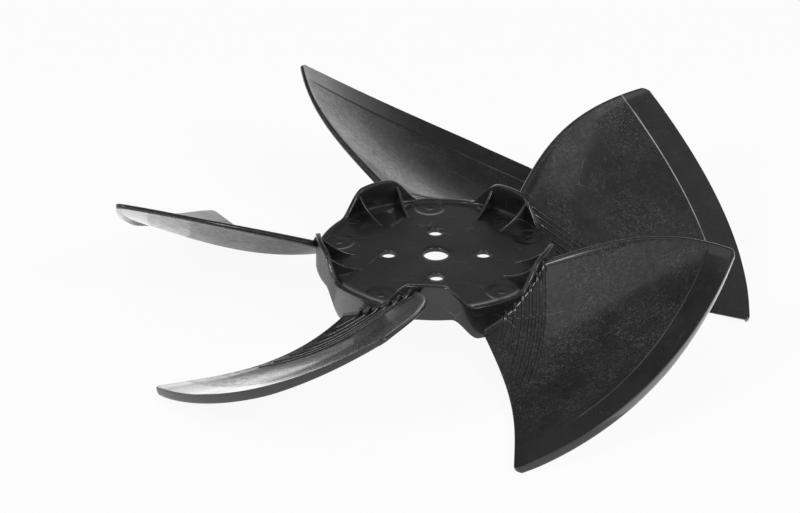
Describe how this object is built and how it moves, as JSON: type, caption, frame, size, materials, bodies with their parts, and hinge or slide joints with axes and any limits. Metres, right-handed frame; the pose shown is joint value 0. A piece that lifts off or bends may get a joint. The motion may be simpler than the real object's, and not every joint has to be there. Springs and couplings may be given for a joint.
{
  "type": "axial fan impeller",
  "caption": "One-piece moulded axial fan impeller with swept blades on a shallow wavy-walled hub, bolted to a motor through a drilled web.",
  "frame": {"origin": "centre of the bore at the upper face of the hub web", "axes": "+Z along the bore axis, towards the side that the leading edges rise to; the blades stand as in the picture seen along +Y"},
  "size_m": [0.3, 0.298, 0.0704],
  "materials": {
    "moulding": "satin"
  },
  "bodies": {
    "root": {"impeller": "moulding"}
  },
  "joints": []
}
